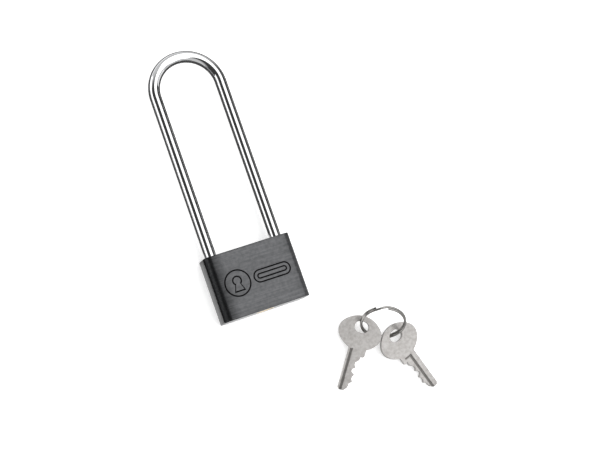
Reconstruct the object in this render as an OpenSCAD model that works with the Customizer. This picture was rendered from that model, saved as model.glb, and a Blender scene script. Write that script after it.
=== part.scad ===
// Padlock with a long round shackle, a pin-tumbler plug, two latches, two keys and a split ring.
// Lies on its back: X to the right, Y from the keyway to the bow, Z out of the front face.

/* [Lock body] */
// width of the block across both legs
body_w = 40; // [36:0.5:44]
// height of the block along the legs
body_h = 29; // [28:0.5:34]
// depth of the block, back to front
body_d = 14; // [13:0.5:16]
// radius of the four long edges
body_r = 3.5; // [1:0.1:4]
// chamfer round the top and bottom faces
body_cham = 0.3; // [0.1:0.05:0.6]
// width of the engraved lines
line_w = 0.65; // [0.3:0.05:0.8]
// depth of the engraved lines
line_depth = 0.3; // [0.1:0.05:0.5]

/* [Shackle] */
// rod diameter
rod_d = 5.2; // [5:0.1:6.5]
// distance between the axes of the two legs
leg_gap = 30.6; // [28:0.1:32]
// straight length above the body
straight = 74; // [40:1:90]
// lift from locked to open
lift = 13; // [12.5:0.1:14]
// depth of the short leg in the body
toe_depth = 12.1; // [11.5:0.1:12.4]
// radial clearance of each leg in its hole
leg_clear = 0.1; // [0.05:0.01:0.2]

/* [Latches] */
// how far each latch moves in
latch_travel = 2.4; // [2:0.1:3]
// how far each nose goes into its leg
nose_depth = 0.75; // [0.5:0.05:1]
// latch diameter
latch_d = 6.84; // [6:0.02:7]
// cross bore diameter
latch_bore_d = 7; // [6.4:0.1:7.4]
// distance of the cross bore from the top face
latch_down = 5.4; // [5:0.1:6]
// height of the nose
nose_h = 2.4; // [2:0.1:3]

/* [Plug and pins] */
// plug diameter
plug_d = 8.5; // [8:0.1:9]
// radial clearance of the plug in its bore
plug_clear = 0.05; // [0.02:0.01:0.1]
// length of the keyway from the bottom face
keyway_len = 16.5; // [16:0.1:17]
// width of the keyway
keyway_w = 2.1; // [1.9:0.1:2.4]
// distance of the first pin from the bottom face
first_pin = 3.6; // [3:0.1:4]
// distance from pin to pin
pin_pitch = 3.2; // [3:0.1:3.4]
// pin diameter
pin_d = 2.3; // [2:0.1:2.5]
// pin chamber diameter
chamber_d = 2.5; // [2.2:0.1:2.7]
// depth to which the right key cuts each pin, from the plug's axis
cuts = [1.5, 0.9, 1.8, 1.2];
// length of a driver pin
driver_len = 3.6; // [3:0.1:5]
// length of a chamber cap
cap_len = 4; // [3:0.1:6]

/* [Keys and ring] */
// key thickness
key_t = 1.8; // [1.6:0.1:2]
// half width of the key's head
head_a = 9.8; // [9:0.1:11]
// half height of the key's head
head_b = 7.7; // [7:0.1:9]
// radius of the head's two ends
head_r = 5.4; // [5:0.1:6]
// centre of the ring, right of the body's axis
ring_x = 48.6; // [46:0.1:56]
// centre of the ring, below the body's centre
ring_y = -36.2; // [-42:0.1:-32]
// lean of the ring from the surface it stands on
ring_lean = 57.1; // [50:0.1:62]
// heading of the ring's lowest tangent
ring_turn = -28.3; // [-35:0.1:-20]
// radius of the ring's wire coil
ring_r = 9.7; // [9:0.1:11]
// thickness of the ring's wire
ring_w = 1.1; // [1:0.05:1.3]

/* [Hidden] */
$fn = 96;
zc = body_d / 2;
top_y = body_h / 2;
bot_y = -body_h / 2;
leg_x = leg_gap / 2;
rod_r = rod_d / 2;
leg_bore_r = rod_r + leg_clear;
latch_y = top_y - latch_down;
toe_tip = top_y - toe_depth;
toe_floor = toe_tip - 0.5;
heel_floor = bot_y + 1.9;
plug_r = plug_d / 2;
plug_bore_r = plug_r + plug_clear;
latch_r = latch_d / 2;
latch_bore_r = latch_bore_d / 2;
plug_end = latch_y - latch_r - 0.35;
drive_r = latch_travel / sqrt(2);
drive_at = drive_r / sqrt(2);
drive_pin_r = 0.7;
slot_half = drive_pin_r + 0.15;
leg_in = leg_x - rod_r;
notch_depth = nose_depth + 0.13;
ramp_len = notch_depth * lift / latch_travel;
groove_r = 3.3;
plug_pin_y = 3.6;
plug_pin_r = 0.7;
plug_pin_x = -(groove_r + 0.15 + plug_pin_r);
shackle_pin_y = 7.6;
shackle_pin_r = 0.7;
flat_in = 0.95;
// the flat runs from just above the pin when locked to just below it when open
flat_top = shackle_pin_y + shackle_pin_r + 0.4;
flat_low = shackle_pin_y - lift - shackle_pin_r - 0.25;
heel_tip = flat_low - 1.9;
shackle_pin_x = -(leg_x + rod_r - flat_in + 0.15 + shackle_pin_r);
side_x = body_w / 2;
n_pins = len(cuts);

// height of the ring's centre when its lower edge touches z = 0.02
ring_z = ring_r * sin(ring_lean) + ring_w / 2 + (ring_w / 2 - 0.01) * cos(ring_lean) + 0.02;
head_e = head_b - head_r;
head_end = head_a - head_r;
head_off = (head_end * head_end - head_e * head_e) / (2 * head_e);
head_big = head_b + head_off;
head_cut = head_end * head_big / (head_big - head_r);
hole_w = 6.4;
hole_h = 5;
head_y = -2.7;
shoulder_y = -12.8;
blade_len = 16.3;
spine_x = -3.1;
// grooves of the blade, one in each face: near edge, far edge
groove_a = [-2.45, -1.25];
groove_b = [-0.75, 0.45];
groove_deep = 0.5;

function pin_y(i) = bot_y + first_pin + pin_pitch * i;
function cut_y(i) = shoulder_y - first_pin - pin_pitch * i;

// a rod along Y from y0 to y1
module rod_y(r, y0, y1) {
    translate([0, y0, 0]) rotate([-90, 0, 0]) cylinder(h = y1 - y0, r = r);
}

// a rod along X from x0 to x1
module rod_x(r, x0, x1) {
    translate([x0, 0, 0]) rotate([0, 90, 0]) cylinder(h = x1 - x0, r = r);
}

// a block between two corners
module block(lo, hi) {
    translate(lo) cube([hi[0] - lo[0], hi[1] - lo[1], hi[2] - lo[2]]);
}

// a coil spring with flat ground ends, standing on z = 0
module coil(r, wire, turns, len) {
    arc = min(150, 360 * wire / (len / turns));
    half = [for (a = [-2 : 2]) a / 2];
    outer = [for (s = half) [r + wire / 2 * sqrt(max(0.04, 1 - s * s)), s * arc / 2]];
    inner = [for (s = half) [r - wire / 2 * sqrt(max(0.04, 1 - s * s)), -s * arc / 2]];
    linear_extrude(height = len, twist = -360 * turns, slices = 15 * turns, segments = 10)
        polygon([for (p = concat(outer, inner)) [p[0] * cos(p[1]), p[0] * sin(p[1])]]);
}

module bar_section() {
    union() {
        square([body_w, body_d - 2 * body_r], center = true);
        square([body_w - 2 * body_r, body_d], center = true);
        for (sx = [-1, 1]) {
            for (sz = [-1, 1]) {
                translate([sx * (side_x - body_r), sz * (zc - body_r)]) circle(r = body_r);
            }
        }
    }
}

// the plain bar, with its sawn ends chamfered
module bar() {
    edge = body_cham * sqrt(2);
    difference() {
        translate([0, bot_y, zc]) rotate([-90, 0, 0]) linear_extrude(body_h) bar_section();
        for (sy = [-1, 1]) {
            for (z = [0, body_d]) {
                translate([0, sy * top_y, z]) rotate([45, 0, 0])
                    cube([body_w + 2, edge, edge], center = true);
            }
            for (sx = [-1, 1]) {
                translate([sx * side_x, sy * top_y, zc]) rotate([0, 0, 45])
                    cube([edge, edge, body_d + 2], center = true);
            }
        }
    }
}

// the outline of an oblong with round ends, as a line of width line_w
module oblong_line(len, wide) {
    difference() {
        hull_free_oblong(len, wide);
        hull_free_oblong(len - 2 * line_w, wide - 2 * line_w);
    }
}

module hull_free_oblong(len, wide) {
    union() {
        square([len - wide, wide], center = true);
        translate([-(len - wide) / 2, 0]) circle(d = wide);
        translate([(len - wide) / 2, 0]) circle(d = wide);
    }
}

// a plain keyhole in a circle, and a blank oblong beside it
module emblem() {
    translate([-9.5, 0]) difference() {
        circle(d = 12);
        circle(d = 12 - 2 * line_w);
    }
    translate([-9.5, 0]) difference() {
        keyhole(2.2, 1.7, 2.6, 4.4);
        keyhole(2.2 - line_w, 1.7 - line_w, 2.6 - line_w * 1.1, 4.4 - line_w);
    }
    translate([6.6, 0]) oblong_line(17.4, 6);
    translate([6.6, 0]) oblong_line(14, 2.6);
}

module keyhole(r, half_top, half_low, drop) {
    union() {
        translate([0, 1.1]) circle(r = r);
        polygon([[-half_top * 0.6, 0.4], [half_top * 0.6, 0.4],
                 [half_low, 0.6 - drop], [-half_low, 0.6 - drop]]);
    }
}

module lock_body() {
    color([0.42, 0.42, 0.43]) difference() {
        bar();
        translate([0, 0, body_d - line_depth]) linear_extrude(1) emblem();
        // toe and heel holes
        translate([leg_x, 0, zc]) rod_y(leg_bore_r, toe_floor, top_y + 1);
        translate([-leg_x, 0, zc]) rod_y(leg_bore_r, heel_floor, top_y + 1);
        // cross bore for the latches, open to the right side
        translate([0, latch_y, zc]) rod_x(latch_bore_r, -leg_in - 1.2, side_x + 1);
        // bore for the plug
        translate([0, 0, zc]) rod_y(plug_bore_r, bot_y - 1, latch_y);
        // pin chambers
        for (i = [0 : n_pins - 1]) {
            translate([0, pin_y(i), zc]) rod_x(chamber_d / 2, 2, side_x + 1);
        }
        // holes of the two retaining pins, from the back
        translate([plug_pin_x, plug_pin_y, -1]) cylinder(h = zc + 5, r = plug_pin_r + 0.03);
        translate([shackle_pin_x, shackle_pin_y, -1]) cylinder(h = zc + 4, r = shackle_pin_r + 0.03);
    }
}

// one leg: rod with a coned tip
module leg(tip) {
    rod_y(rod_r, tip + 1, top_y + straight);
    translate([0, tip, 0]) rotate([-90, 0, 0]) cylinder(h = 1, r1 = rod_r - 0.9, r2 = rod_r);
}

// the notch on the inside of the right leg, with its ramp
module notch() {
    x0 = leg_in - 1;
    x1 = leg_in + notch_depth;
    hi = latch_y + nose_h / 2 + 0.15;
    lo = latch_y - nose_h / 2 - 0.15;
    translate([0, 0, zc - 4]) linear_extrude(8)
        polygon([[x0, hi], [x1, hi], [x1, lo], [leg_in, lo - ramp_len], [x0, lo - ramp_len]]);
}

module shackle() {
    color([0.85, 0.86, 0.88]) difference() {
        union() {
            translate([leg_x, 0, zc]) leg(toe_tip);
            translate([-leg_x, 0, zc]) leg(heel_tip);
            translate([0, top_y + straight, zc]) rotate_extrude(angle = 180)
                translate([leg_x, 0]) circle(r = rod_r);
        }
        notch();
        mirror([1, 0, 0]) notch();
        // flat on the outside of the long leg, which the retaining pin runs in
        block([-leg_x - rod_r - 1, flat_low, zc - 4], [-leg_x - rod_r + flat_in, flat_top, zc + 4]);
        // round groove at its lower end
        translate([-leg_x, flat_low, zc]) rotate([-90, 0, 0]) difference() {
            cylinder(h = 2 * shackle_pin_r + 0.5, r = rod_r + 1);
            translate([0, 0, -1]) cylinder(h = 5, r = rod_r - flat_in);
        }
    }
}

module plug() {
    color([0.8, 0.68, 0.38]) difference() {
        union() {
            translate([0, 0, zc]) rod_y(plug_r, bot_y + 0.05, plug_end);
            translate([drive_at, 0, zc - drive_at]) rod_y(drive_pin_r, plug_end - 1, latch_y + 2.2);
            translate([-drive_at, 0, zc + drive_at]) rod_y(drive_pin_r, plug_end - 1, latch_y + 2.2);
        }
        // keyway, with a rib on each side for the key's grooves
        difference() {
            block([-3.35, bot_y - 1, zc - keyway_w / 2], [3.35, bot_y + keyway_len, zc + keyway_w / 2]);
            block([groove_a[0] + 0.2, bot_y - 2, zc - keyway_w],
                  [groove_a[1] - 0.2, top_y, zc - key_t / 2 + 0.3]);
            block([groove_b[0] + 0.2, bot_y - 2, zc + key_t / 2 - 0.3],
                  [groove_b[1] - 0.2, top_y, zc + keyway_w]);
        }
        // groove for the retaining pin
        translate([0, 0, zc]) difference() {
            rod_y(plug_r + 1, plug_pin_y - 0.9, plug_pin_y + 0.9);
            rod_y(groove_r, plug_pin_y - 2, plug_pin_y + 2);
        }
        // pin holes
        for (i = [0 : n_pins - 1]) {
            translate([0, pin_y(i), zc]) rod_x(chamber_d / 2, 0.5, plug_r + 1);
        }
    }
}

// a latch for the right leg: a round slide with an arm over the plug's drive pin
module latch() {
    arm_in = drive_at - slot_half - 1.1;
    face = 6.3;
    nose_x = leg_in - 0.55;
    tip_x = leg_in + nose_depth;
    intersection() {
        rod_x(latch_r, arm_in, tip_x);
        difference() {
            union() {
                block([arm_in, -5, -5], [face + 1, 5, -0.2]);
                block([face, -5, -5], [nose_x, 5, 5]);
                block([nose_x - 1, -nose_h / 2, -5], [tip_x, nose_h / 2, 5]);
            }
            block([drive_at - slot_half, -6, -drive_r - drive_pin_r - 0.15], [drive_at + slot_half, 6, 1]);
        }
    }
}

module latch_toe() {
    color([0.78, 0.66, 0.4]) translate([0, latch_y, zc]) latch();
}

module latch_heel() {
    color([0.78, 0.66, 0.4]) translate([0, latch_y, zc]) rotate([0, 180, 0]) latch();
}

module latch_bore_cap() {
    color([0.42, 0.42, 0.43]) translate([0, latch_y, zc])
        rod_x(latch_bore_r - 0.02, leg_x + leg_bore_r + 0.35, side_x - 0.03);
}

module key_pin(i) {
    tip = cuts[i];
    color([0.82, 0.7, 0.4]) translate([0, pin_y(i), zc]) union() {
        rod_x(pin_d / 2, tip + 0.5, 4.05);
        translate([tip, 0, 0]) rotate([0, 90, 0]) cylinder(h = 0.5, r1 = pin_d / 2 - 0.55, r2 = pin_d / 2);
    }
}

module driver_pin(i) {
    color([0.75, 0.75, 0.76]) translate([0, pin_y(i), zc])
        rod_x(pin_d / 2, plug_r + 0.2, plug_r + 0.2 + driver_len);
}

module pin_spring(i) {
    x0 = plug_r + 0.25 + driver_len;
    x1 = side_x - 0.05 - cap_len - 0.05;
    color([0.7, 0.72, 0.75]) translate([x0, pin_y(i), zc]) rotate([0, 90, 0]) coil(0.88, 0.34, 6, x1 - x0);
}

module chamber_cap(i) {
    color([0.42, 0.42, 0.43]) translate([0, pin_y(i), zc])
        rod_x(chamber_d / 2 - 0.02, side_x - 0.03 - cap_len, side_x - 0.03);
}

module shackle_spring() {
    y0 = heel_floor + 0.05;
    color([0.7, 0.72, 0.75]) translate([-leg_x, y0, zc]) rotate([-90, 0, 0])
        coil(1.9, 0.6, 4.5, heel_tip - 0.05 - y0);
}

module shackle_retaining_pin() {
    color([0.6, 0.6, 0.62]) translate([shackle_pin_x, shackle_pin_y, 0.8])
        cylinder(h = zc + 2, r = shackle_pin_r);
}

module plug_retaining_pin() {
    color([0.6, 0.6, 0.62]) translate([plug_pin_x, plug_pin_y, 0.05]) cylinder(h = zc + 3.8, r = plug_pin_r);
}

// outline of the head: an oval of four arcs
module head_outline() {
    translate([0, head_y]) union() {
        intersection() {
            translate([0, -head_off]) circle(r = head_big);
            translate([0, head_off]) circle(r = head_big);
            square([2 * head_cut, 4 * head_b], center = true);
        }
        for (sx = [-1, 1]) {
            translate([sx * head_end, 0]) circle(r = head_r);
        }
    }
}

// outline of the blade with its tab and its cut edge
module blade_outline() {
    tip_y = shoulder_y - blade_len;
    peaks = [for (i = [0 : n_pins - 2]) max(cuts[i], cuts[i + 1]) + 0.75];
    edge = [for (i = [0 : n_pins - 1]) each [
        [cuts[i], cut_y(i) + 0.5],
        [cuts[i], cut_y(i) - 0.5],
        if (i < n_pins - 1) [peaks[i], (cut_y(i) + cut_y(i + 1)) / 2]
    ]];
    polygon(concat(
        [[spine_x, -7.5], [spine_x, tip_y + 1], [spine_x + 0.9, tip_y], [-0.5, tip_y], [0.9, tip_y + 1.5]],
        [for (i = [len(edge) - 1 : -1 : 0]) edge[i]],
        [[3, cut_y(0) + 2.1], [3, shoulder_y + 0.4], [3.4, shoulder_y], [4.3, shoulder_y],
         [4.7, shoulder_y + 0.5], [4.7, -7.5]]
    ));
}

module hole_outline() {
    union() {
        square([hole_w - hole_h, hole_h], center = true);
        for (sx = [-1, 1]) {
            translate([sx * (hole_w - hole_h) / 2, 0]) circle(d = hole_h);
        }
    }
}

// a key lying face up, its hole's centre at the origin, its tip towards -Y
module flat_key() {
    low = shoulder_y - blade_len - 1;
    difference() {
        translate([0, 0, -key_t / 2]) linear_extrude(key_t) difference() {
            union() {
                head_outline();
                blade_outline();
            }
            hole_outline();
        }
        // long groove in the upper face
        block([groove_a[0], low, key_t / 2 - groove_deep], [groove_a[1], shoulder_y + 2.6, key_t]);
        // long groove in the lower face, with its short cross step
        block([groove_b[0], low, -key_t], [groove_b[1], shoulder_y + 2.2, -key_t / 2 + groove_deep]);
        block([groove_b[0], shoulder_y + 1.5, -key_t], [3, shoulder_y + 2.2, -key_t / 2 + 0.25]);
    }
}

module key_1() {
    color([0.74, 0.73, 0.7]) translate([ring_x - 8.69, ring_y + 1.3, 4.6])
        rotate([0, 0, -35.2]) rotate([6.68, 0, 0]) rotate([0, -5.32, 0]) flat_key();
}

module key_2() {
    color([0.74, 0.73, 0.7]) translate([ring_x + 5.11, ring_y - 7.27, 3.91])
        rotate([0, 0, 19.5]) rotate([5.65, 0, 0]) rotate([0, 2.01, 0]) rotate([0, 180, 0]) flat_key();
}

// two turns of wire, one on the other
module split_ring() {
    color([0.8, 0.8, 0.82]) translate([ring_x, ring_y, ring_z]) rotate([0, 0, ring_turn])
        rotate([ring_lean, 0, 0]) union() {
            for (s = [-1, 1]) {
                translate([0, 0, s * (ring_w / 2 - 0.01)]) rotate_extrude()
                    translate([ring_r, 0]) circle(d = ring_w);
            }
        }
}

lock_body();
shackle();
plug();
latch_toe();
latch_heel();
latch_bore_cap();
key_pin(0);  // key_pin_1
key_pin(1);  // key_pin_2
key_pin(2);  // key_pin_3
key_pin(3);  // key_pin_4
driver_pin(0);  // driver_pin_1
driver_pin(1);  // driver_pin_2
driver_pin(2);  // driver_pin_3
driver_pin(3);  // driver_pin_4
pin_spring(0);  // pin_spring_1
pin_spring(1);  // pin_spring_2
pin_spring(2);  // pin_spring_3
pin_spring(3);  // pin_spring_4
chamber_cap(0);  // chamber_cap_1
chamber_cap(1);  // chamber_cap_2
chamber_cap(2);  // chamber_cap_3
chamber_cap(3);  // chamber_cap_4
shackle_spring();
shackle_retaining_pin();
plug_retaining_pin();
split_ring();
key_1();
key_2();
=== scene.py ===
import math

import bmesh
import bpy
from mathutils import Matrix, Vector


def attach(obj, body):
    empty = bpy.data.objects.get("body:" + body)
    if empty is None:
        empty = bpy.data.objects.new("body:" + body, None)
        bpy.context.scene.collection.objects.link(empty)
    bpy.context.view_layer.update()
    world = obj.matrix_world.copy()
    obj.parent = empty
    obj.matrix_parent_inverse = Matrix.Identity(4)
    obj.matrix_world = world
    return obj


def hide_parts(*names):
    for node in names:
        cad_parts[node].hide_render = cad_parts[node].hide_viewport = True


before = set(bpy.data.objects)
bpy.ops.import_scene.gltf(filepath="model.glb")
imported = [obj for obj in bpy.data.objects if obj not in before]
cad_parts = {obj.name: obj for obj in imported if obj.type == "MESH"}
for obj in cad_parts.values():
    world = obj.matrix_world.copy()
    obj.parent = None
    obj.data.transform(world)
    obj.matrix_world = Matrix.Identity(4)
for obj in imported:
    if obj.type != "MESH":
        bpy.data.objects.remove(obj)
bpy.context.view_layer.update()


# ---------------------------------------------------------------- lock body
# A length of solid metal bar, plated dark grey and brushed from side to side. The front carries an
# engraved keyhole in a ring and two nested oblongs, and every cut edge is broken by a light tumble.

def merged_copy(node):
    """The CAD node's shape as one clean mesh, with its flat faces whole."""
    shape = bmesh.new()
    shape.from_mesh(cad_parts[node].data)
    bmesh.ops.remove_doubles(shape, verts=shape.verts, dist=2e-6)
    bmesh.ops.dissolve_limit(shape, angle_limit=math.radians(0.4), verts=shape.verts, edges=shape.edges)
    return shape


def break_edges(shape, width, steps, over=28):
    """Rounds every edge sharper than `over` degrees and marks the new band as worn."""
    worn = shape.verts.layers.float.get("worn") or shape.verts.layers.float.new("worn")
    sharp = [e for e in shape.edges if e.is_manifold and e.calc_face_angle(0) > math.radians(over)]
    made = bmesh.ops.bevel(shape, geom=sharp, offset=width, offset_type="OFFSET", affect="EDGES",
                           segments=steps, profile=0.5, material=-1, clamp_overlap=True)
    for v in made["verts"]:
        v[worn] = 1.0


def settle(shape, name, material, body, nodes, smooth=32):
    """Turns a finished shape into an object that rides on its body in place of its CAD nodes."""
    mesh = bpy.data.meshes.new(name)
    shape.normal_update()
    shape.to_mesh(mesh)
    shape.free()
    for face in mesh.polygons:
        face.use_smooth = True
    mesh.set_sharp_from_angle(angle=math.radians(smooth))
    mesh.materials.append(material)
    piece = bpy.data.objects.new(name, mesh)
    bpy.context.scene.collection.objects.link(piece)
    even = piece.modifiers.new("even_faces", "WEIGHTED_NORMAL")
    even.keep_sharp = True
    even.weight = 100
    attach(piece, body)
    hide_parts(*nodes)
    return piece


def effect_group(name, inputs, outputs):
    """An empty node group with its sockets; inputs are (name, kind, default)."""
    group = bpy.data.node_groups.new(name, "ShaderNodeTree")
    for label, kind, value in inputs:
        socket = group.interface.new_socket(name=label, in_out="INPUT", socket_type=kind)
        socket.default_value = value
    for label, kind in outputs:
        group.interface.new_socket(name=label, in_out="OUTPUT", socket_type=kind)
    return group, group.nodes.new("NodeGroupInput"), group.nodes.new("NodeGroupOutput")


def sums(tree, kind, a, b=None, clamp=False):
    """One math node; a and b are sockets or numbers."""
    node = tree.nodes.new("ShaderNodeMath")
    node.operation = kind
    node.use_clamp = clamp
    for place, value in enumerate((a, b)):
        if value is None:
            continue
        if isinstance(value, (int, float)):
            node.inputs[place].default_value = value
        else:
            tree.links.new(value, node.inputs[place])
    return node.outputs[0]


def noise(tree, vector, scale, detail, rough=0.55):
    node = tree.nodes.new("ShaderNodeTexNoise")
    node.inputs["Scale"].default_value = scale
    node.inputs["Detail"].default_value = detail
    node.inputs["Roughness"].default_value = rough
    tree.links.new(vector, node.inputs["Vector"])
    return node.outputs["Fac"]


def span(tree, value, low, high, to_low=0.0, to_high=1.0):
    """Maps low..high onto to_low..to_high, held at the ends."""
    node = tree.nodes.new("ShaderNodeMapRange")
    for label, number in (("From Min", low), ("From Max", high), ("To Min", to_low), ("To Max", to_high)):
        node.inputs[label].default_value = number
    tree.links.new(value, node.inputs["Value"])
    return node.outputs["Result"]


# brushed or rolled grain: fine lines along one direction, slow blotches, and a few stray hairlines
grain_group, grain_in, grain_out = effect_group(
    "metal_grain",
    [("Stretch", "NodeSocketVector", (1.0, 1.0, 1.0)),
     ("Hairline turn", "NodeSocketVector", (0.0, 0.0, 0.5))],
    [("Grain", "NodeSocketFloat"), ("Blotch", "NodeSocketFloat"), ("Hairline", "NodeSocketFloat")])
place = grain_group.nodes.new("ShaderNodeTexCoord").outputs["Object"]
stretched = grain_group.nodes.new("ShaderNodeVectorMath")
stretched.operation = "MULTIPLY"
grain_group.links.new(place, stretched.inputs[0])
grain_group.links.new(grain_in.outputs["Stretch"], stretched.inputs[1])
fine = noise(grain_group, stretched.outputs[0], 1.0, 5.0, 0.62)
grain_group.links.new(fine, grain_out.inputs["Grain"])
blotches = noise(grain_group, place, 95.0, 4.0)
grain_group.links.new(span(grain_group, blotches, 0.3, 0.7), grain_out.inputs["Blotch"])
turned = grain_group.nodes.new("ShaderNodeMapping")
turned.inputs["Scale"].default_value = (120.0, 3600.0, 900.0)
grain_group.links.new(place, turned.inputs["Vector"])
grain_group.links.new(grain_in.outputs["Hairline turn"], turned.inputs["Rotation"])
hair = noise(grain_group, turned.outputs[0], 1.0, 1.0)
grain_group.links.new(span(grain_group, hair, 0.69, 0.75), grain_out.inputs["Hairline"])

# rubbed edges: the tumbled band of each edge, broken up so that it never reads as a drawn line
rub_group, rub_in, rub_out = effect_group(
    "rubbed_edges", [("Amount", "NodeSocketFloat", 1.0)], [("Rub", "NodeSocketFloat")])
band = rub_group.nodes.new("ShaderNodeAttribute")
band.attribute_name = "worn"
spots = noise(rub_group, rub_group.nodes.new("ShaderNodeTexCoord").outputs["Object"], 700.0, 3.0)
rubbed = sums(rub_group, "MULTIPLY", band.outputs["Fac"], span(rub_group, spots, 0.32, 0.62, 0.25, 1.0))
rubbed = sums(rub_group, "MULTIPLY", rubbed, rub_in.outputs["Amount"], True)
rub_group.links.new(rubbed, rub_out.inputs["Rub"])


def mixed(tree, amount, first, second):
    """first where amount is 0, second where it is 1; each a colour or a socket."""
    node = tree.nodes.new("ShaderNodeMix")
    node.data_type = "RGBA"
    tree.links.new(amount, node.inputs["Factor"])
    for label, value in ((6, first), (7, second)):
        if isinstance(value, tuple):
            node.inputs[label].default_value = (*value, 1.0)
        else:
            tree.links.new(value, node.inputs[label])
    return node.outputs[2]


def metal(name, colour, stained, rough, uneven, stretch, height, rub=(1.0, 1.0, 1.0), rub_amount=0.0,
          hairlines=0.1, turn=(0.0, 0.0, 0.5)):
    """A solid metal surface: colour and its stain, roughness and its spread, grain stretch and height."""
    made = bpy.data.materials.new(name)
    made.use_nodes = True
    tree = made.node_tree
    shader = tree.nodes["Principled BSDF"]
    shader.inputs["Metallic"].default_value = 1.0
    grain = tree.nodes.new("ShaderNodeGroup")
    grain.node_tree = grain_group
    grain.inputs["Stretch"].default_value = stretch
    grain.inputs["Hairline turn"].default_value = turn
    base = mixed(tree, grain.outputs["Blotch"], colour, stained)
    roughness = sums(tree, "ADD", sums(tree, "MULTIPLY", grain.outputs["Grain"], uneven), rough - uneven / 2)
    roughness = sums(tree, "ADD", roughness, sums(tree, "MULTIPLY", grain.outputs["Blotch"], uneven * 0.35))
    if rub_amount:
        edges = tree.nodes.new("ShaderNodeGroup")
        edges.node_tree = rub_group
        edges.inputs["Amount"].default_value = rub_amount
        base = mixed(tree, edges.outputs["Rub"], base, rub)
        roughness = sums(tree, "SUBTRACT", roughness, sums(tree, "MULTIPLY", edges.outputs["Rub"], 0.08))
    relief = sums(tree, "SUBTRACT", grain.outputs["Grain"],
                  sums(tree, "MULTIPLY", grain.outputs["Hairline"], hairlines))
    bump = tree.nodes.new("ShaderNodeBump")
    bump.inputs["Strength"].default_value = 1.0
    bump.inputs["Distance"].default_value = height
    tree.links.new(relief, bump.inputs["Height"])
    tree.links.new(base, shader.inputs["Base Color"])
    tree.links.new(roughness, shader.inputs["Roughness"])
    tree.links.new(bump.outputs["Normal"], shader.inputs["Normal"])
    return made


BAR_GREY = (0.140, 0.143, 0.147)
BAR_STAIN = (0.137, 0.140, 0.144)
# the darkest grey is where the painted shade along the edges and the brush streaks take the plate
BAR_SHADE_AND_STREAKS = (0.045, 0.046, 0.048)
BAR_RUB = (0.26, 0.26, 0.27)
BRUSHED_ACROSS = (60.0, 3200.0, 3200.0)
BRUSH_DEPTH = 0.0000009
ENGRAVED = (0.012, 0.012, 0.013)
FRONT_Z = 0.014
MARK_HALF_WIDTH = 0.0161
MARK_HALF_HEIGHT = 0.0071
BODY_EDGE = 0.00007
body_metal = metal("brushed_dark_plate", BAR_GREY, BAR_STAIN, 0.40, 0.012, BRUSHED_ACROSS, BRUSH_DEPTH,
                   rub=BAR_RUB, rub_amount=0.5, hairlines=0.35, turn=(0.0, 0.0, 0.04))

# the engraving is blackened: everything just under the front face, inside the area of the mark
tree = body_metal.node_tree
where = tree.nodes.new("ShaderNodeSeparateXYZ")
tree.links.new(tree.nodes.new("ShaderNodeTexCoord").outputs["Object"], where.inputs[0])
below = span(tree, where.outputs["Z"], FRONT_Z - 0.00022, FRONT_Z - 0.00006, 1.0, 0.0)
above = span(tree, where.outputs["Z"], FRONT_Z - 0.0006, FRONT_Z - 0.0004)
cut = sums(tree, "MULTIPLY", below, above)
for side, half in (("X", MARK_HALF_WIDTH), ("Y", MARK_HALF_HEIGHT)):
    inside = span(tree, sums(tree, "ABSOLUTE", where.outputs[side]), half - 0.0001, half + 0.0001, 1.0, 0.0)
    cut = sums(tree, "MULTIPLY", cut, inside)
shader = tree.nodes["Principled BSDF"]

# painted shade: the plate's colour is darker towards the long edges at its left and right than in the middle
# of the wide faces, and it is darkest along the left one
plain = shader.inputs["Base Color"].links[0].from_socket
painted_shade_and_streaks = span(tree, sums(tree, "ABSOLUTE", where.outputs["X"]), 0.004, 0.021, 0.0, 0.5)
painted_left_shade = span(tree, where.outputs["X"], -0.0170, -0.0120, 0.85, 0.25)
painted_shade_and_streaks = sums(tree, "MAXIMUM", painted_shade_and_streaks, painted_left_shade)

# the coarser strokes of the brush show as faint darker streaks from side to side
strokes = tree.nodes.new("ShaderNodeGroup")
strokes.node_tree = grain_group
strokes.inputs["Stretch"].default_value = (38.0, 1250.0, 1250.0)
streaks = span(tree, strokes.outputs["Grain"], 0.36, 0.64, 0.0, 0.26)
painted_shade_and_streaks = sums(tree, "ADD", painted_shade_and_streaks, streaks, True)
# the painted shade and the brush streaks both pull the plate towards its darkest grey
plain = mixed(tree, painted_shade_and_streaks, plain, BAR_SHADE_AND_STREAKS)
tree.links.new(mixed(tree, cut, plain, ENGRAVED), shader.inputs["Base Color"])
plain = shader.inputs["Roughness"].links[0].from_socket
tree.links.new(sums(tree, "ADD", plain, sums(tree, "MULTIPLY", cut, 0.3)), shader.inputs["Roughness"])

block = merged_copy("lock_body")
break_edges(block, BODY_EDGE, 2)
settle(block, "lock_block", body_metal, "lock", ["lock_body"])


# ---------------------------------------------------------------- shackle
# One hardened round rod bent to a long bow and chrome plated. Each leg has a ramped notch for its latch,
# and the long leg has a flat and a neck at its foot, which the retaining pin runs in.
ROD = 0.0026
LEG_X = 0.0153
ROD_Z = 0.007
BOW_Y = 0.0885
TOE_Y = 0.0024
HEEL_Y = -0.00825
FOOT_ROUND = 0.001
NOTCH_FLOOR = 0.01358
NOTCH_TOP = 0.01045
RAMP_TOP = 0.00775
RAMP_FOOT = 0.002983
FLAT_X = -0.01695
FLAT_TOP = 0.0087
NECK_LOW = -0.00635
NECK_TALL = 0.0019
NECK = 0.00165
PAST_ROD = 0.001


def solid_object(shape, name):
    mesh = bpy.data.meshes.new(name)
    bmesh.ops.recalc_face_normals(shape, faces=shape.faces)
    shape.to_mesh(mesh)
    shape.free()
    made = bpy.data.objects.new(name, mesh)
    bpy.context.scene.collection.objects.link(made)
    return made


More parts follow.
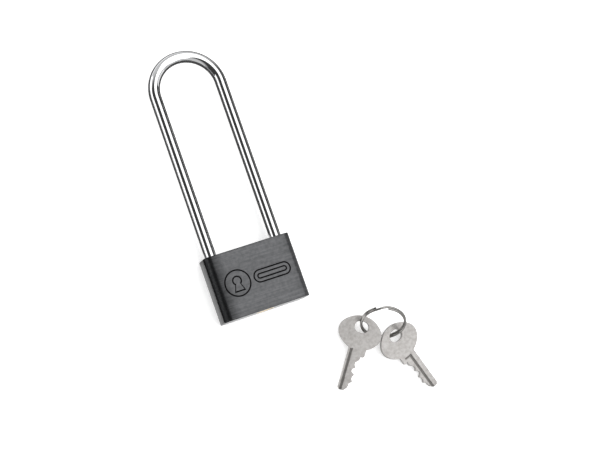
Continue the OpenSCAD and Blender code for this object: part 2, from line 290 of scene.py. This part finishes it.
def carved(solid, cutters):
    """The solid less each cutter, as a bmesh; the objects used are removed."""
    for cutter in cutters:
        cut = solid.modifiers.new(cutter.name, "BOOLEAN")
        cut.operation = "DIFFERENCE"
        cut.solver = "EXACT"
        cut.object = cutter
    bpy.context.view_layer.update()
    result = bmesh.new()
    finished = solid.evaluated_get(bpy.context.evaluated_depsgraph_get())
    result.from_mesh(bpy.data.meshes.new_from_object(finished))
    for spent in [solid, *cutters]:
        bpy.data.objects.remove(spent)
    return result


def rim_of(new_geometry):
    return [g for g in new_geometry if isinstance(g, bmesh.types.BMEdge)]


def corners_of(new_geometry):
    return [g for g in new_geometry if isinstance(g, bmesh.types.BMVert)]


def push(shape, rim, move, scale=1.0):
    """Extrudes an open rim by move, and scales the new rim about its own centre."""
    grown = bmesh.ops.extrude_edge_only(shape, edges=rim)["geom"]
    corners = corners_of(grown)
    bmesh.ops.translate(shape, verts=corners, vec=move)
    if scale != 1.0:
        middle = sum((v.co for v in corners), Vector()) / len(corners)
        bmesh.ops.scale(shape, verts=corners, vec=(scale, scale, scale), space=Matrix.Translation(-middle))
    return [e for e in rim_of(grown) if all(v in corners for v in e.verts)]


rod = bmesh.new()
circle = bmesh.ops.create_circle(rod, cap_ends=False, radius=ROD, segments=72)["verts"]
bmesh.ops.rotate(rod, verts=circle, cent=(0, 0, 0), matrix=Matrix.Rotation(math.radians(90), 3, "X"))
bmesh.ops.translate(rod, verts=circle, vec=(LEG_X, BOW_Y, ROD_Z))
start_rim = list(rod.edges)
bow = bmesh.ops.spin(rod, geom=start_rim, cent=(0, BOW_Y, ROD_Z), axis=(0, 0, 1), dvec=(0, 0, 0),
                     angle=math.pi, steps=96, use_merge=False, use_duplicate=False)["geom_last"]
for rim, foot in ((start_rim, TOE_Y), (rim_of(bow), HEEL_Y)):
    for _ in range(4):
        rim = push(rod, rim, (0, (foot + FOOT_ROUND - BOW_Y) / 4, 0))
    rim = push(rod, rim, (0, -0.6 * FOOT_ROUND, 0), 0.83)
    rim = push(rod, rim, (0, -0.4 * FOOT_ROUND, 0), 0.76)
    bmesh.ops.contextual_create(rod, geom=rim)

# the notch's outline: square at the top, a flat floor, then a ramp that runs out at the rod's inner side
inner_side = LEG_X - ROD
outline = ((inner_side - PAST_ROD, NOTCH_TOP), (NOTCH_FLOOR, NOTCH_TOP), (NOTCH_FLOOR, RAMP_TOP),
           (inner_side, RAMP_FOOT), (inner_side - PAST_ROD, RAMP_FOOT))
cutter_tall = 0.008
notch = bmesh.new()
profile = notch.faces.new([notch.verts.new((x, y, ROD_Z - cutter_tall / 2)) for x, y in outline])
grown = bmesh.ops.extrude_face_region(notch, geom=[profile])["geom"]
bmesh.ops.translate(notch, verts=corners_of(grown), vec=(0, 0, cutter_tall))
twin = notch.copy()
bmesh.ops.scale(twin, verts=twin.verts, vec=(-1, 1, 1))

flat_wide = FLAT_X + LEG_X + ROD + PAST_ROD
flat = bmesh.new()
bmesh.ops.create_cube(flat, size=1.0)
bmesh.ops.scale(flat, verts=flat.verts, vec=(flat_wide, FLAT_TOP - NECK_LOW, cutter_tall))
bmesh.ops.translate(flat, verts=flat.verts, vec=(FLAT_X - flat_wide / 2, (FLAT_TOP + NECK_LOW) / 2, ROD_Z))

neck = bmesh.new()
for radius in (NECK, ROD + PAST_ROD):
    bmesh.ops.create_circle(neck, cap_ends=False, radius=radius, segments=64)
bmesh.ops.bridge_loops(neck, edges=neck.edges)
grown = bmesh.ops.extrude_face_region(neck, geom=list(neck.faces))["geom"]
bmesh.ops.translate(neck, verts=corners_of(grown), vec=(0, 0, NECK_TALL))
bmesh.ops.rotate(neck, verts=neck.verts, cent=(0, 0, 0), matrix=Matrix.Rotation(math.radians(-90), 3, "X"))
bmesh.ops.translate(neck, verts=neck.verts, vec=(-LEG_X, NECK_LOW, ROD_Z))

bent = carved(solid_object(rod, "rod"), [solid_object(notch, "toe_notch"), solid_object(twin, "heel_notch"),
                                         solid_object(flat, "heel_flat"), solid_object(neck, "heel_neck")])
chrome = metal("chrome_plate", (0.88, 0.885, 0.895), (0.83, 0.835, 0.845), 0.06, 0.03,
               (500.0, 160.0, 500.0), 0.0000004, hairlines=0.25, turn=(0.0, 0.0, 0.2))
settle(bent, "shackle_rod", chrome, "shackle", ["shackle"], smooth=35)


# ---------------------------------------------------------------- plug, key pins and latches
# Turned and milled brass. The plug's face shows in the bottom of the lock, with fine turning rings
# round the keyway; the pins and latches are plain turned parts that stay inside.
brass = metal("turned_brass", (0.78, 0.59, 0.27), (0.66, 0.47, 0.20), 0.27, 0.18, (2600.0, 300.0, 2600.0),
              0.000006, hairlines=0.2)
latch_metal = metal("sintered_brass", (0.70, 0.55, 0.28), (0.58, 0.43, 0.20), 0.38, 0.2,
                    (2200.0, 2200.0, 2200.0), 0.00001, hairlines=0.1)

# turning rings: fine circles round the plug's own axis, 0.15 mm apart
PLUG_Z = 0.007
RING_RATE = 42000.0
tree = brass.node_tree
spot = tree.nodes.new("ShaderNodeSeparateXYZ")
tree.links.new(tree.nodes.new("ShaderNodeTexCoord").outputs["Object"], spot.inputs[0])
off_axis = sums(tree, "SUBTRACT", spot.outputs["Z"], PLUG_Z)
radius = sums(tree, "SQRT", sums(tree, "ADD", sums(tree, "MULTIPLY", spot.outputs["X"], spot.outputs["X"]),
                                 sums(tree, "MULTIPLY", off_axis, off_axis)))
rings = sums(tree, "SINE", sums(tree, "MULTIPLY", radius, RING_RATE))
bump = [n for n in tree.nodes if n.type == "BUMP"][0]
relief = bump.inputs["Height"].links[0].from_socket
tree.links.new(sums(tree, "ADD", relief, sums(tree, "MULTIPLY", rings, 0.25)), bump.inputs["Height"])


def finish_nodes(material, *nodes):
    """Gives CAD nodes that stay as they are their metal."""
    for node in nodes:
        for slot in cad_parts[node].material_slots:
            slot.material = material


PIN_NUMBERS = (1, 2, 3, 4)
finish_nodes(brass, "plug", *[f"key_pin_{n}" for n in PIN_NUMBERS])
finish_nodes(latch_metal, "latch_toe", "latch_heel")


# ---------------------------------------------------------------- driver pins, retaining pins and springs
# Drawn steel wire and rod. The springs are wound from bright music wire; the retaining pins are pressed
# into the back of the block, where their ends show as small discs.
pin_metal = metal("drawn_steel", (0.58, 0.58, 0.59), (0.46, 0.46, 0.47), 0.3, 0.14,
                  (1800.0, 1800.0, 500.0), 0.000005)
spring_metal = metal("spring_wire", (0.62, 0.64, 0.67), (0.50, 0.52, 0.56), 0.22, 0.12,
                     (2400.0, 2400.0, 2400.0), 0.000003)
finish_nodes(pin_metal, "shackle_retaining_pin", "plug_retaining_pin")
finish_nodes(pin_metal, *[f"driver_pin_{n}" for n in PIN_NUMBERS])
finish_nodes(spring_metal, "shackle_spring", *[f"pin_spring_{n}" for n in PIN_NUMBERS])


# ---------------------------------------------------------------- caps in the right side
# Short plugs of the block's own metal, pressed in flush to close the four pin chambers and the latch bore,
# then brushed over with the side, so that they show as faint discs.
CAP_EDGE = 0.00008
# the caps' grey is the block's own grey darkened as far as the painted shade darkens the block's side around
# them
cap_metal = metal("brushed_cap", (0.094, 0.096, 0.099), (0.086, 0.088, 0.091), 0.40, 0.02,
                  BRUSHED_ACROSS, BRUSH_DEPTH, rub=BAR_RUB, rub_amount=0.6)
for node in ["latch_bore_cap", *[f"chamber_cap_{n}" for n in PIN_NUMBERS]]:
    cap = merged_copy(node)
    break_edges(cap, CAP_EDGE, 2)
    settle(cap, node + "_disc", cap_metal, "lock", [node])


# ---------------------------------------------------------------- keys
# Two flat keys cut to the same depths, stamped from nickel-plated brass sheet. The head is a wide oval
# with an oblong hole; the blade has a long groove in each face. Stamping leaves soft, slightly worn edges.
KEY_EDGE = 0.00012
GROOVE_DIRT = (0.07, 0.066, 0.06)
key_nickel = metal("satin_nickel", (0.356, 0.336, 0.320), (0.302, 0.284, 0.270), 0.34, 0.12,
                   (1300.0, 1300.0, 1300.0), 0.000006, rub=(0.62, 0.61, 0.60), rub_amount=0.5, hairlines=0.6,
                   turn=(0.0, 0.0, 0.9))

# the satin plate scatters part of the light, and the floors of the milled grooves stay dull and dark
tree = key_nickel.node_tree
shader = tree.nodes["Principled BSDF"]
shader.inputs["Metallic"].default_value = 0.62
dirt = tree.nodes.new("ShaderNodeAttribute")
dirt.attribute_name = "groove"
dulled = sums(tree, "MULTIPLY", dirt.outputs["Fac"], 0.78)
plated = shader.inputs["Base Color"].links[0].from_socket
tree.links.new(mixed(tree, dulled, plated, GROOVE_DIRT), shader.inputs["Base Color"])


def mark_grooves(shape):
    """Marks the faces that lie parallel to the key's own face but below it."""
    low = shape.verts.layers.float.new("groove")
    widest = max(shape.faces, key=lambda f: f.calc_area())
    up = widest.normal.copy()
    mid = sum((v.co.dot(up) for v in shape.verts), 0.0) / len(shape.verts)
    top = max(abs(v.co.dot(up) - mid) for v in shape.verts)
    for face in shape.faces:
        if abs(face.normal.dot(up)) > 0.99 and abs(face.calc_center_median().dot(up) - mid) < top * 0.8:
            for v in face.verts:
                v[low] = 1.0


for node in ["key_1", "key_2"]:
    blank = merged_copy(node)
    break_edges(blank, KEY_EDGE, 3)
    mark_grooves(blank)
    settle(blank, node + "_stamped", key_nickel, node, [node])


# ---------------------------------------------------------------- split ring
# Spring steel wire wound twice and polished. The two turns lie one on the other, and the wire steps from
# one turn to the other beside its two cut ends, where a key is threaded on.
RING_R = 0.0097
WIRE = 0.0011
LEAN = math.radians(57.1)
TURN = math.radians(-28.3)
CUT_ENDS_AT = math.radians(128)
TURN_PITCH = 0.00106
STEP_FROM, STEP_OVER = 326, 34
STRIDE = 4
WOUND = 688
HALF_STACK = 0.00054
OFF_TABLE = 0.00002
CENTRE_Z = RING_R * math.sin(LEAN) + WIRE / 2 + HALF_STACK * math.cos(LEAN) + OFF_TABLE
CENTRE = Vector((0.0486, -0.0362, CENTRE_Z))


def stepped_over(heading):
    """How far the wire has moved over to its second turn, 0 to 1, at a heading in degrees."""
    return (1 - math.cos(math.pi * min(1, max(0, (heading - STEP_FROM) / STEP_OVER)))) / 2


wire = bmesh.new()
section = bmesh.ops.create_circle(wire, cap_ends=True, radius=WIRE / 2 - 0.00001, segments=20)["verts"]
bmesh.ops.scale(wire, verts=section, vec=(1.0, 0.94, 1.0))
bmesh.ops.rotate(wire, verts=section, cent=(0, 0, 0), matrix=Matrix.Rotation(math.radians(90), 3, "X"))
bmesh.ops.translate(wire, verts=section, vec=(RING_R, 0, -TURN_PITCH / 2))
end = list(wire.faces)
for heading in range(0, WOUND, STRIDE):
    moved_over = (stepped_over(heading + STRIDE) - stepped_over(heading)) * TURN_PITCH
    end = bmesh.ops.spin(wire, geom=end, cent=(0, 0, 0), axis=(0, 0, 1), dvec=(0, 0, moved_over),
                         angle=math.radians(STRIDE), steps=1, use_merge=False,
                         use_duplicate=False)["geom_last"]
bmesh.ops.remove_doubles(wire, verts=wire.verts, dist=1e-7)
bmesh.ops.recalc_face_normals(wire, faces=wire.faces)
for angle, axis in ((CUT_ENDS_AT, "Z"), (LEAN, "X"), (TURN, "Z")):
    bmesh.ops.rotate(wire, verts=wire.verts, cent=(0, 0, 0), matrix=Matrix.Rotation(angle, 3, axis))
bmesh.ops.translate(wire, verts=wire.verts, vec=CENTRE)
ring_steel = metal("polished_wire", (0.375, 0.367, 0.355), (0.32, 0.312, 0.30), 0.17, 0.08,
                   (900.0, 900.0, 900.0), 0.0000008, hairlines=0.3)
settle(wire, "wound_ring", ring_steel, "key_ring", ["split_ring"], smooth=40)


# ---------------------------------------------------------------- table, lights and camera
# A plain pale table top lit by two tall soft boxes, one on each side of the camera, with a dim gap
# between them that gives the rod its dark stripe. A small fill lights the block's right edge.
top = bmesh.new()
bmesh.ops.create_grid(top, x_segments=1, y_segments=1, size=4.0)
table_mesh = bpy.data.meshes.new("table_top")
top.to_mesh(table_mesh)
top.free()
table = bpy.data.objects.new("table_top", table_mesh)
bpy.context.scene.collection.objects.link(table)
paper = bpy.data.materials.new("pale_paper")
paper.use_nodes = True
tree = paper.node_tree
white = tree.nodes["Principled BSDF"]
white.inputs["Base Color"].default_value = (0.92, 0.92, 0.92, 1.0)
white.inputs["Roughness"].default_value = 0.9
white.inputs["Specular IOR Level"].default_value = 0.1
white.inputs["Emission Color"].default_value = (1.0, 1.0, 1.0, 1.0)
white.inputs["Emission Strength"].default_value = 0.42
dull = tree.nodes.new("ShaderNodeBsdfDiffuse")
dull.inputs["Color"].default_value = (0.07, 0.07, 0.07, 1.0)

# in the metal, the table shows as pale card, except for black felt laid under and beside the legs
card = tree.nodes.new("ShaderNodeEmission")
spot = tree.nodes.new("ShaderNodeSeparateXYZ")
tree.links.new(tree.nodes.new("ShaderNodeTexCoord").outputs["Object"], spot.inputs[0])
across, along = spot.outputs["X"], spot.outputs["Y"]
off_middle = sums(tree, "ABSOLUTE", across)
legs = sums(tree, "MULTIPLY", span(tree, along, 0.013, 0.018), span(tree, along, 0.13, 0.16, 1.0, 0.0))
legs = sums(tree, "MULTIPLY", legs, span(tree, off_middle, 0.09, 0.14, 1.0, 0.0))

# the felt also lies along the left of the block, a little way off
left = span(tree, across, -0.0240, -0.0225, 1.0, 0.0)
left = sums(tree, "MULTIPLY", left, span(tree, across, -0.14, -0.09))
left = sums(tree, "MULTIPLY", left, span(tree, sums(tree, "ABSOLUTE", along), 0.018, 0.024, 1.0, 0.0))
felt = sums(tree, "MAXIMUM", legs, left)

# the card is brighter beside the block than under the keys
tree.links.new(span(tree, across, 0.024, 0.034, 1.5, 0.6), card.inputs["Strength"])
card_share = sums(tree, "SUBTRACT", 1.0, felt)
beside = tree.nodes.new("ShaderNodeMixShader")
tree.links.new(card_share, beside.inputs[0])
tree.links.new(dull.outputs[0], beside.inputs[1])
tree.links.new(card.outputs[0], beside.inputs[2])
choose = tree.nodes.new("ShaderNodeMixShader")
tree.links.new(tree.nodes.new("ShaderNodeLightPath").outputs["Is Glossy Ray"], choose.inputs[0])
tree.links.new(white.outputs[0], choose.inputs[1])
tree.links.new(beside.outputs[0], choose.inputs[2])
tree.links.new(choose.outputs[0], tree.nodes["Material Output"].inputs["Surface"])
table_mesh.materials.append(paper)

AIM = Vector((0.010, 0.030, 0.007))


def soft_box(name, angle, distance, wide, tall, brightness, along=0.0):
    """A soft box at `angle` from straight up towards +X, its long side along Y."""
    lamp = bpy.data.lights.new(name, "AREA")
    lamp.shape = "RECTANGLE"
    lamp.size = wide
    lamp.size_y = tall
    lamp.energy = brightness * math.pi * wide * tall
    box = bpy.data.objects.new(name, lamp)
    bpy.context.scene.collection.objects.link(box)
    turn = math.radians(angle)
    box.location = AIM + Vector((math.sin(turn) * distance, along, math.cos(turn) * distance))
    box.rotation_euler = (0, turn, 0)
    return box


soft_box("soft_box_right", 23.0, 0.85, 0.74, 1.9, 1.45)
soft_box("soft_box_left", -69.5, 0.85, 0.46, 1.1, 1.45, along=0.585)
soft_box("fill_right", 72.0, 0.60, 0.42, 0.36, 0.8, along=-0.14)

world = bpy.data.worlds.new("studio")
bpy.context.scene.world = world
world.use_nodes = True
air = world.node_tree
backdrop = air.nodes["Background"]
backdrop.inputs["Color"].default_value = (1.0, 1.0, 1.0, 1.0)
backdrop.inputs["Strength"].default_value = 0.75

# in the metal, the room is dim above the legs and on both sides, and pale towards the bow and the keyway end
dim = air.nodes.new("ShaderNodeBackground")
heading = air.nodes.new("ShaderNodeSeparateXYZ")
air.links.new(air.nodes.new("ShaderNodeTexCoord").outputs["Generated"], heading.inputs[0])
towards_ends = sums(air, "ABSOLUTE", heading.outputs["Y"])
air.links.new(span(air, towards_ends, 0.42, 0.66, 0.055, 0.75), dim.inputs["Strength"])
which = air.nodes.new("ShaderNodeMixShader")
air.links.new(air.nodes.new("ShaderNodeLightPath").outputs["Is Glossy Ray"], which.inputs[0])
air.links.new(backdrop.outputs[0], which.inputs[1])
air.links.new(dim.outputs[0], which.inputs[2])
air.links.new(which.outputs[0], air.nodes["World Output"].inputs["Surface"])
bpy.context.scene.view_settings.view_transform = "Standard"

camera = bpy.data.cameras.new("camera")
camera.sensor_width = 36.0
camera.lens = 79.892
camera.clip_start = 0.01
seen_from = bpy.data.objects.new("camera", camera)
bpy.context.scene.collection.objects.link(seen_from)
yaw, pitch, roll = (math.radians(a) for a in (18.410, 5.791, -19.493))
ahead = Vector((math.sin(yaw) * math.cos(pitch), math.sin(pitch), -math.cos(yaw) * math.cos(pitch)))
right = Vector((math.cos(yaw), 0.0, math.sin(yaw)))
upward = right.cross(ahead)
side = right * math.cos(roll) + upward * math.sin(roll)
lift = upward * math.cos(roll) - right * math.sin(roll)
seen_from.matrix_world = Matrix.Translation((-0.157116, -0.042958, 0.562935)) @ Matrix(
    (side, lift, -ahead)).transposed().to_4x4()
bpy.context.scene.camera = seen_from
